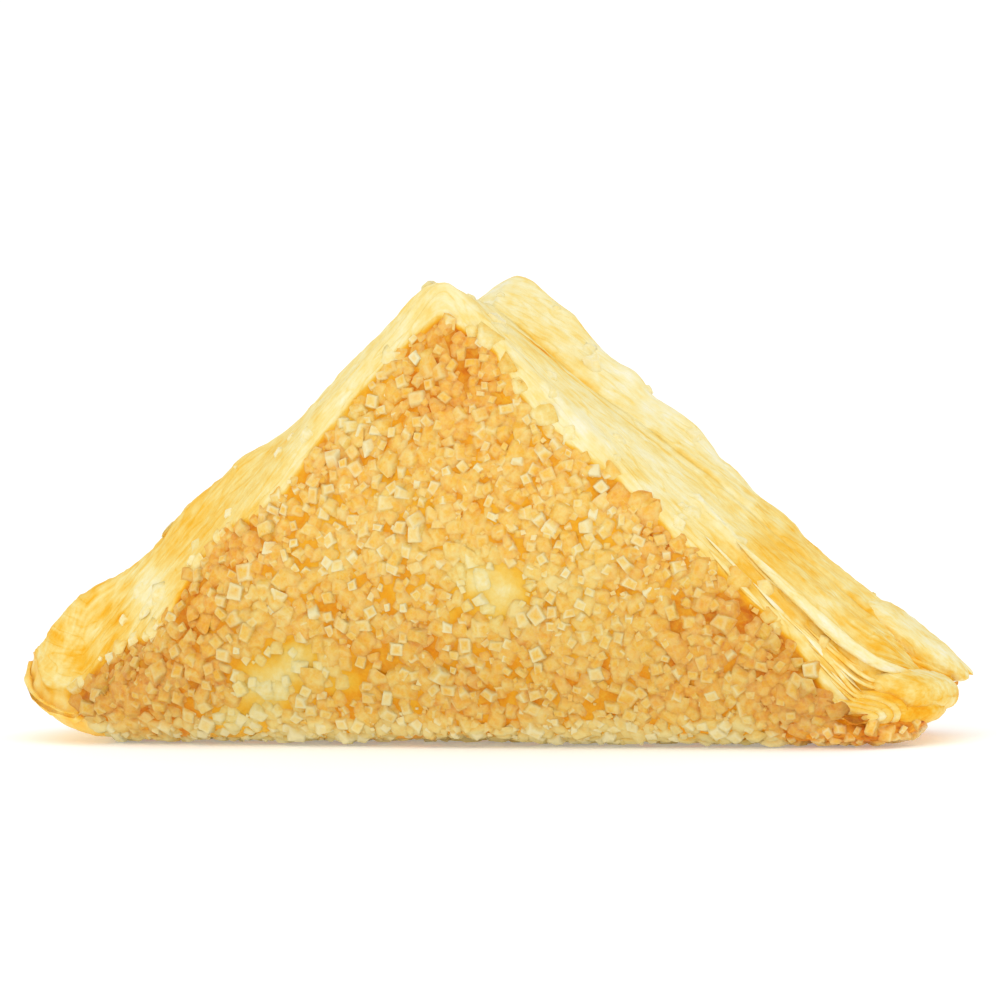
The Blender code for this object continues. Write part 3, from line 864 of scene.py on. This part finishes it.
cornerStrip = {"rings": 30, "columns": 20, "seed": 301}
acrossWay, upWay = (0.0, 1.0, 0.0), (0.3, 0.0, 1.0)
cornerLeaves = [
    # the rear leaf's tip, which hangs over the middle lobe
    (((50.0, 5.0, 19.5, 5.0, 1.6), (57.0, 5.5, 15.9, 5.4, 2.6), (61.5, 5.8, 12.7, 5.2, 2.5),
      (65.3, 6.0, 10.2, 4.4, 2.1), (68.0, 6.0, 8.7, 3.0, 1.4), (69.9, 6.0, 7.8, 1.2, 0.55)),
     acrossWay, 0.15, 0.08, 0.1),
    (((56.0, 8.0, 17.0, 2.6, 0.8), (61.0, 8.6, 14.6, 2.6, 0.8), (65.0, 8.4, 11.6, 2.3, 0.7),
      (67.8, 7.9, 9.7, 1.6, 0.5), (70.1, 7.4, 8.1, 0.6, 0.3)), acrossWay, 0.12, 0.30, 0.1),
    (((54.0, 2.4, 15.6, 2.0, 0.7), (60.0, 2.6, 12.2, 2.2, 0.8), (64.5, 3.2, 9.9, 2.0, 0.7),
      (68.4, 4.2, 8.2, 0.9, 0.35)), acrossWay, 0.20, 0.20, 0.1),
    # the middle lobe and its creased underside
    (((54.0, -2.6, 8.3, 7.4, 2.6), (60.0, -2.6, 7.4, 7.4, 3.0), (65.0, -3.0, 6.7, 6.6, 3.0),
      (68.5, -3.4, 6.4, 4.8, 2.3), (70.4, -3.8, 6.2, 2.2, 1.0)), acrossWay, 0.20, 0.10, 0.2),
    (((56.0, -4.4, 4.6, 6.6, 1.9), (61.0, -4.4, 4.2, 6.6, 1.9), (66.0, -4.2, 4.1, 5.4, 1.7),
      (69.4, -4.0, 4.9, 2.6, 0.9)), acrossWay, 0.28, 0.10, 0.3),
    # golden underside of the fold at the right corner
    (((50.0, -7.0, 2.4, 5.4, 1.9), (57.0, -7.4, 2.3, 5.4, 1.9), (61.5, -7.2, 2.3, 5.0, 1.8),
      (65.0, -6.6, 2.7, 3.8, 1.4), (67.4, -6.0, 3.3, 1.8, 0.7)), acrossWay, 0.66, 0.10, 0.8),
]
# nested leaves of the curled end, each nearer and shorter than the one behind
curl = {"leaves": 5, "reach": (66.0, -0.8), "y": (-9.8, -0.75), "height": (2.6, -0.4),
        "bake": (0.34, 0.20, 0.32, 0.18, 0.24)}
for leaf in range(curl["leaves"]):
    reach, y, tall = (curl[key][0] + leaf * curl[key][1] for key in ("reach", "y", "height"))
    cornerLeaves.append((((51.0, y - 1.6, 6.4, tall, 0.5), (56.0, y - 1.2, 5.6, tall, 0.55),
                          (reach - 4.5, y - 0.5, 4.9, tall, 0.6), (reach - 1.6, y, 4.4, 0.85 * tall, 0.55),
                          (reach, y + 0.3, 4.2, 0.35 * tall, 0.3)), upWay, curl["bake"][leaf], 0.14, 0.3))
buildStrips("cornerLeaves", cornerLeaves, cornerStrip)

flakeStrip = {"rings": 18, "columns": 12, "seed": 331, "loose": 9, "looseSeed": 411}
# thin sheets along the sides: (x, away) points, half width, half thickness, lift, bake, bake at the edges
sheets = [
    (((42.0, 7.2), (50.7, 7.4), (57.0, 8.4), (61.5, 7.6), (65.0, 5.6)), 0.95, 0.40, 0.25, 0.10, 0.06),
    (((52.0, 5.6), (57.0, 6.0), (61.0, 5.5), (64.0, 4.4)), 0.40, 0.14, 0.06, 0.26, 0.22),
    (((54.0, 4.7), (57.5, 4.7), (61.0, 4.4), (64.6, 3.2)), 0.30, 0.12, 0.08, 0.22, 0.26),
    (((53.0, 3.6), (56.0, 4.0), (60.0, 3.2), (64.0, 2.4)), 0.36, 0.12, 0.06, 0.28, 0.22),
    (((54.0, 2.4), (58.0, 2.4), (61.0, 2.3), (63.5, 1.4)), 0.34, 0.12, 0.07, 0.24, 0.20),
    (((50.0, 4.3), (53.0, 4.7), (57.0, 4.2), (60.0, 3.9)), 0.30, 0.10, 0.05, 0.20, 0.20),
    (((56.0, 1.5), (59.0, 1.7), (62.0, 1.0), (64.0, 0.2)), 0.34, 0.12, 0.06, 0.26, 0.16),
]
chance = np.random.default_rng(flakeStrip["looseSeed"])
for number in range(flakeStrip["loose"]):                # small loose flakes near the right corner
    x = 60.0 - 24.0 * chance.random() ** 1.5
    away = chance.uniform(1.5, 7.0)
    run = chance.uniform(4.0, 9.0)
    sheets.append((((x - 0.5 * run, away), (x, away + chance.uniform(-0.4, 0.4)), (x + 0.5 * run, away)),
                   chance.uniform(0.25, 0.5), chance.uniform(0.07, 0.12), chance.uniform(0.02, 0.08),
                   chance.uniform(0.10, 0.26), chance.uniform(0.06, 0.18)))
buildStrips("sideFlakes", [laidStrip(*sheet) for sheet in sheets], flakeStrip)

# where grains may lie: dense on both crusts, half as dense underneath, almost none on the open sides
sugarCover = {"crust": 1.0, "side": 0.008, "base": 0.5, "bare": 3.4, "clump": 1.0}
cover = sugarCover["crust"] * onCrust ** 2 + sugarCover["side"] * onSide * (1.0 - bell(fromSeam, -2.0, 7.0))
cover = cover * (1.0 - onBase * (1.0 - sugarCover["base"]))
cover = cover * (1.0 + 0.8 * bell(gz, 1.6, 1.4) * ease(np.abs(gy), 8.0, 11.0))   # more round the foot
cover = cover * (1.0 - ease(gx, 54.0, 58.5)) * ease(gx, -60.5, -56.0) * (1.0 - noseWrap)
bareness = leafPatches([patch for patch in frontPatches if patch[3] < 0.0])
cover = cover * np.clip(1.0 + sugarCover["bare"] * bareness, 0.03, 1.0)
cover = cover * (1.0 - 0.4 * ease(bake, 0.70, 0.88))               # dark caramel lies barer
noseEnd = ease(-bodyNormal[..., 0], 0.30, 0.50) * ease(-gx, 50.0, 53.0)
cover = cover * (1.0 - noseEnd)                                    # none stick out of the nose
cover = cover * np.clip(0.75 + sugarCover["clump"] * layeredNoise(gx, gy, gz, 6.0, 151), 0.08, 1.4)


# places on a surface, with all that the surface carries there: random cells weighted by area and cover,
# thinned until none are closer than the spacing
def scatter(surface, look):
    count, spacing = look["tries"], look["spacing"]
    chance = np.random.default_rng(look["seed"])
    grid = surface["points"]
    a = grid[1:, :] - grid[:-1, :]
    b = np.roll(grid, -1, axis=1)[:-1] - grid[:-1]
    share = np.cumsum((np.linalg.norm(np.cross(a, b), axis=2) * surface["cover"][:-1]).ravel())
    picks = np.searchsorted(share, chance.random(count) * share[-1])
    row = picks // grid.shape[1] + chance.random(count)
    column = picks % grid.shape[1] + chance.random(count)
    points = sampleGrid(grid, row, column)
    tree = KDTree(count)
    for index, point in enumerate(points):
        tree.insert(point, index)
    tree.balance()
    keep = np.ones(count, bool)
    for index, point in enumerate(points):
        if keep[index]:
            for _, other, _ in tree.find_range(point, spacing):
                if other > index:
                    keep[other] = False
    places = {key: sampleGrid(surface[key], row[keep], column[keep]) for key in surface if key != "cover"}
    places["normals"] = unit(places["normals"])
    return places


# a cube with its edges and corners cut back by the chamfer, and a slightly raised point amid each face;
# rim is 1 at the edges and 0 at those points, facet numbers the flat sides
def crystalShape(look):
    chamfer, dome = look["chamfer"], look["dome"]
    signs = [(x, y, z) for x in (-1, 1) for y in (-1, 1) for z in (-1, 1)]
    points = [[sign[n] * (1.0 if n == axis else 1.0 - chamfer) for n in range(3)]
              for sign in signs for axis in range(3)]
    faces = [[3 * corner + axis for axis in range(3)] for corner in range(8)]
    facet = list(range(8))

    # the point that belongs to one face (which) near the corner at axis side, u su, v sv
    def near(axis, side, su, sv, which):
        sign = [0, 0, 0]
        sign[axis], sign[(axis + 1) % 3], sign[(axis + 2) % 3] = side, su, sv
        return 3 * signs.index(tuple(sign)) + which

    for axis in range(3):
        u = (axis + 1) % 3
        for side in (-1, 1):
            loop = [near(axis, side, su, sv, axis) for su, sv in ((-1, -1), (1, -1), (1, 1), (-1, 1))]
            faces += [[loop[n], loop[(n + 1) % 4], len(points)] for n in range(4)]
            faces += [[near(axis, side, su, -1, axis), near(axis, side, su, 1, axis),
                       near(axis, side, su, 1, u), near(axis, side, su, -1, u)] for su in (-1, 1)]
            facet += [max(facet) + 1] * 4 + [max(facet) + 2, max(facet) + 3]
            points.append([side * (1.0 + dome) if n == axis else 0.0 for n in range(3)])
    points = np.array(points)
    outward = [np.cross(points[loop[1]] - points[loop[0]], points[loop[2]] - points[loop[0]])
               @ points[loop].mean(axis=0) for loop in faces]
    faces = [loop if turn > 0 else loop[::-1] for loop, turn in zip(faces, outward)]
    rim = np.concatenate((np.ones(24), np.zeros(6)))
    return points, faces, rim, np.array(facet)


cubeCorners = np.array([(x, y, z) for x in (-1, 1) for y in (-1, 1) for z in (-1, 1)], float)
cubeFaces = [[0, 1, 3, 2], [4, 6, 7, 5], [0, 4, 5, 1], [2, 3, 7, 6], [0, 2, 6, 4], [1, 5, 7, 3]]
plainCube = (cubeCorners, cubeFaces, np.full(8, 0.5), np.arange(6))


# three axes for each grain: upright on the surface, spun at random, then tipped over by up to the tilt
def grainAxes(normals, tilt, chance):
    guide = np.where(np.abs(normals[:, 2:3]) < 0.9, (0.0, 0.0, 1.0), (1.0, 0.0, 0.0))
    ahead = unit(np.cross(guide, normals))
    aside = np.cross(normals, ahead)
    spin = chance.random(len(normals))[:, None] * 2.0 * math.pi
    ahead, aside = np.cos(spin) * ahead + np.sin(spin) * aside, np.cos(spin) * aside - np.sin(spin) * ahead
    lean = (chance.random(len(normals))[:, None] ** 1.5) * tilt
    return np.stack((np.cos(lean) * ahead - np.sin(lean) * normals, aside,
                     np.cos(lean) * normals + np.sin(lean) * ahead), axis=1)


# normals of a mesh leaned towards the crust's own, as light passing through sugar evens its sides out: own
# normal times one minus the share, plus the crust's times the share. The share is each vertex's lean,
# fading to nothing on sides that face away from the crust's normal
def leanNormals(mesh, crustWays, lean, smooth):
    corner = np.empty(len(mesh.loops), np.int32)
    mesh.loops.foreach_get("vertex_index", corner)
    source = mesh.vertices if smooth else mesh.polygons
    own = np.empty(3 * len(source), np.float32)
    source.foreach_get("normal", own)
    own = own.reshape(-1, 3)
    totals = np.empty(len(mesh.polygons), np.int32)
    mesh.polygons.foreach_get("loop_total", totals)
    own = own[corner] if smooth else np.repeat(own, totals, axis=0)
    crustWay = crustWays[corner]
    share = lean[corner] * ease((own * crustWay).sum(axis=1, keepdims=True), -0.7, 0.2)
    leaned = unit(own * (1.0 - share) + crustWay * share)
    mesh.polygons.foreach_set("use_smooth", np.ones(len(mesh.polygons), bool))
    mesh.normals_split_custom_set(leaned.tolist())


# grains: one shape copied to every place. Its points are the mean of eight corners weighted by nearness, and
# those corners are pushed about so that no two grains are alike; then it is roughened, tapered, turned and
# sunk
def makeGrains(name, shape, places, look, material, smooth):
    chance = np.random.default_rng(look["seed"] + 1)
    spot, normal = places["points"], places["normals"]
    count = len(spot)
    base, faces, rim, facet = shape
    axes = grainAxes(normal, look["tilt"], chance)
    size = look["size"] * np.exp(look["spread"] * chance.standard_normal(count))
    size = np.clip(size, look["least"], look["most"])
    halves = 0.5 * size[:, None] * np.stack((np.ones(count), chance.uniform(0.66, 1.0, count),
                                             chance.uniform(*look["flatness"], count)), axis=1)
    corners = cubeCorners[None] * (1.0 + look["uneven"] * chance.uniform(-1.0, 1.0, (count, 8, 3)))
    weights = np.prod(0.5 * (1.0 + base[:, None, :] * cubeCorners[None]), axis=2)
    grains = np.einsum("vc,gcd->gvd", weights, corners)
    grains = grains * (1.0 + look["rough"] * chance.uniform(-1.0, 1.0, (count, len(base), 1)))
    grains[..., :2] = grains[..., :2] * (1.0 - look["taper"] * grains[..., 2:])
    grains = np.einsum("gvd,gde->gve", grains * halves[:, None, :], axes)
    lift = halves[:, 2] * (1.0 - 2.0 * chance.uniform(*look["sunk"], count))
    grains = grains + (spot + normal * lift[:, None])[:, None, :]
    grains[..., 2] = np.maximum(grains[..., 2], 0.02)                  # none reaches below the floor
    # free is 0 where a grain sits in syrup and 1 where it stands clear; the foot of the pastry is paler
    free = ease(((grains - spot[:, None]) * normal[:, None]).sum(axis=2) / halves[:, 2:], -0.3, 0.9)
    foot = (1.0 - ease(spot[:, 2], 0.5, 6.0)) * (1.0 - ease(spot[:, 0], 44.0, 53.0))
    under = places["bake"][:, None]
    clearing = look["bakeShift"] * (1.0 + 2.0 * np.clip(under - 0.62, 0.0, 0.3))
    local = np.clip(under + clearing * free - 0.20 * foot[:, None], *grainBake)
    milk = (look["milk"] + look["milkSpread"] * chance.standard_normal(count)
            - np.clip(local[:, 0] - 0.55, 0.0, 1.0) + 0.85 * foot
            + 0.08 * (1.0 - ease(spot[:, 2], 5.0, 25.0)))
    milk = np.clip(milk, 0.02, 1.0)
    milk = np.where(chance.random(count) < look["clear"], milk + 0.45, milk)
    dimmed = 1.0 - 0.55 * ease(under, 0.66, 0.86)                      # dark caramel shows through
    # each flat side's milkiness differs at random: partly the sugar's own, partly a painted glint as if some
    # facets caught the light
    facetMilkAndPaintedGlint = milk[:, None] + look["facet"] * chance.uniform(-1.0, 1.0, (count, facet.max() + 1))
    # painted shade: the pastry's painted shade under each grain, deeper at its foot where it sinks into the
    # syrup
    paintedGrainShade = places["paintedShade"][:, None] + 0.18 * (1.0 - free)
    # pale rims, partly a painted highlight along the crystal's edges
    rims = rim * look["rim"] * chance.uniform(0.6, 1.0, (count, 1))
    starts = (np.arange(count) * len(base))[:, None]
    faceList = [face for loop in faces for face in (starts + np.array(loop)[None]).tolist()]
    piece = buildMesh(name, grains.reshape(-1, 3), faceList, material,
                      {"bake": local.ravel(), "paintedShade": paintedGrainShade.ravel(), "free": (free * dimmed).ravel(),
                       "rim": rims.ravel()}, smooth)
    level = unit(np.concatenate((normal[:, :2], np.maximum(normal[:, 2:], 0.0)), axis=1), 1e-3)
    lean = look["lean"] * (0.3 + 0.7 * places["crusty"][:, None])      # less of it on the open sides
    leanNormals(piece.data, np.repeat(level, len(base), axis=0), np.repeat(lean, len(base), axis=0), smooth)
    layer = piece.data.attributes.new("milk", "FLOAT", "FACE")
    layer.data.foreach_set("value", facetMilkAndPaintedGlint[:, facet].T.astype(np.float32).ravel())
    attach(piece, "root")
    print(name, count, "grains", sum(len(loop) - 2 for loop in faces) * count, "triangles")


crustSurface = {"points": body, "normals": bodyNormal, "bake": bake, "paintedShade": paintedShade, "crusty": onCrust,
                "cover": cover}
grainBake = (0.14, 0.69)                   # the palest and the most baked that a grain looks
crispGrain = {
    "tries": 9000, "spacing": 1.62, "seed": 201, "chamfer": 0.16, "dome": 0.06,
    "size": 1.7, "spread": 0.26, "least": 1.0, "most": 2.7, "flatness": (0.4, 0.75), "uneven": 0.28,
    "rough": 0.07, "sunk": (0.42, 0.78), "taper": 0.25, "tilt": 0.6, "rim": 0.95, "facet": 0.16,
    "bakeShift": -0.24, "milk": -0.07, "milkSpread": 0.18, "clear": 0.08, "lean": 0.85}
meltedGrain = {
    "tries": 10000, "spacing": 1.28, "seed": 211, "chamfer": 0.26, "dome": 0.08,
    "size": 2.35, "spread": 0.25, "least": 1.3, "most": 3.3, "flatness": (0.25, 0.5), "uneven": 0.3,
    "rough": 0.08, "sunk": (0.58, 0.84), "taper": 0.35, "tilt": 0.45, "rim": 0.72, "facet": 0.10,
    "bakeShift": -0.16, "milk": -0.17, "milkSpread": 0.12, "clear": 0.02, "lean": 0.93}
chipGrain = {
    "tries": 1500, "spacing": 0.7, "seed": 221,
    "size": 0.6, "spread": 0.3, "least": 0.4, "most": 1.0, "flatness": (0.5, 1.0), "uneven": 0.25,
    "rough": 0.1, "sunk": (0.3, 0.7), "taper": 0.0, "tilt": 1.3, "rim": 0.0, "facet": 0.25,
    "bakeShift": -0.18, "milk": 0.2, "milkSpread": 0.25, "clear": 0.05, "lean": 0.6}

# the underside of the right corner, which is the corner leaf of this number, carries sugar as well
hemGrain = {"leaf": 5, "rings": 40, "columns": 24, "tries": 200, "spacing": 1.3, "seed": 231}
hemPoints = stripPoints(*cornerLeaves[hemGrain["leaf"]][:2], hemGrain["rings"], hemGrain["columns"],
                        cornerStrip["seed"] + hemGrain["leaf"])[0]
hemNormals = gridNormals(hemPoints)
if not windsOutward(hemPoints):
    hemNormals = -hemNormals
hemCover = ease(-hemNormals[..., 1] - hemNormals[..., 2], 0.1, 0.9) * ease(hemPoints[..., 0], 52.0, 56.0)
hem = {"points": hemPoints, "normals": hemNormals, "cover": hemCover}
# the hem's bake, its even painted shade and its share of crust
for label, value in (("bake", 0.78), ("paintedShade", 0.1), ("crusty", 1.0)):
    hem[label] = np.full(hemPoints.shape[:2], value)
crispPlaces = scatter(crustSurface, crispGrain)
hemPlaces = scatter(hem, hemGrain)
crispPlaces = {key: np.concatenate((crispPlaces[key], hemPlaces[key])) for key in crispPlaces}
meltedPlaces = scatter(crustSurface, meltedGrain)
chipPlaces = scatter(crustSurface, chipGrain)
makeGrains("crispSugar", crystalShape(crispGrain), crispPlaces, crispGrain, crispLook, False)
makeGrains("meltedSugar", crystalShape(meltedGrain), meltedPlaces, meltedGrain, meltedLook, True)
makeGrains("sugarChips", plainCube, chipPlaces, chipGrain, chipLook, False)

# floor, light and camera
studio = {"floorSize": 40.0, "floorDark": (250, 250, 250), "floorLight": (254, 254, 254), "floorDrop": 0.2,
          "sky": ((0.20, 1.05), (0.55, 0.50)), "overhead": 1.18, "overheadSpread": 70.0,
          "overheadTilt": (22.0, 0.0, 15.0)}
floorLook, floorTree, floorShader = newMaterial("paleFloor", Roughness=0.8, Emission_Strength=0.22,
                                                Emission_Color=(1.0, 1.0, 1.0, 1.0))
floorNoise = noiseOver(floorTree, objectCoords(floorTree), Scale=30.0)
floorTree.links.new(mixColours(floorTree, floorNoise.outputs["Fac"], srgb(*studio["floorDark"]),
                               srgb(*studio["floorLight"])), floorShader.inputs["Base Color"])
floorPlace = (0.0, 0.0, -millimetre * studio["floorDrop"])
bpy.ops.mesh.primitive_plane_add(size=studio["floorSize"], location=floorPlace)
floor = bpy.context.object
floor.name = "floor"
floor.data.materials.append(floorLook)

# the sky: white round the horizon, dimmer overhead
world = bpy.data.worlds.new("studio")
bpy.context.scene.world = world
world.use_nodes = True
sky = world.node_tree
skyCoords = addNode(sky, "ShaderNodeTexCoord")
skyParts = addNode(sky, "ShaderNodeSeparateXYZ")
skyRamp = addNode(sky, "ShaderNodeValToRGB")
for element, (place, level) in zip(skyRamp.color_ramp.elements, studio["sky"]):
    element.position = place
    element.color = (level, level, level, 1.0)
sky.links.new(skyCoords.outputs["Generated"], skyParts.inputs[0])
sky.links.new(skyParts.outputs["Z"], skyRamp.inputs["Fac"])
sky.links.new(skyRamp.outputs["Color"], sky.nodes["Background"].inputs["Color"])

# one wide soft light overhead, a little towards the front
overhead = bpy.data.lights.new("overhead", "SUN")
overhead.energy = studio["overhead"]
overhead.angle = math.radians(studio["overheadSpread"])
lamp = bpy.data.objects.new("overhead", overhead)
lamp.rotation_euler = [math.radians(angle) for angle in studio["overheadTilt"]]
bpy.context.scene.collection.objects.link(lamp)

view = {"target": (4.7, 0.0, 33.0), "distance": 800.0, "azimuth": 21.0, "height": 3.0, "roll": 1.7,
        "frameWidth": 138.9, "sensor": 36.0}
turn, lift, roll = (math.radians(view[key]) for key in ("azimuth", "height", "roll"))
back = Vector((math.sin(turn) * math.cos(lift), -math.cos(turn) * math.cos(lift), math.sin(lift)))
level = Vector((math.cos(turn), math.sin(turn), 0.0))
upright = back.cross(level)
right = level * math.cos(roll) - upright * math.sin(roll)
upward = level * math.sin(roll) + upright * math.cos(roll)
cameraData = bpy.data.cameras.new("camera")
cameraData.sensor_width = view["sensor"]
cameraData.lens = view["sensor"] * view["distance"] / view["frameWidth"]
cameraData.clip_start = 0.01
camera = bpy.data.objects.new("camera", cameraData)
target = (Vector(view["target"]) - Vector((stationShift, 0.0, 0.0))) * millimetre
camera.matrix_world = (Matrix.Translation(target + back * view["distance"] * millimetre)
                       @ Matrix((right, upward, back)).transposed().to_4x4())
bpy.context.scene.collection.objects.link(camera)
bpy.context.scene.camera = camera
bpy.context.scene.view_settings.view_transform = "Standard"
print("stage set")
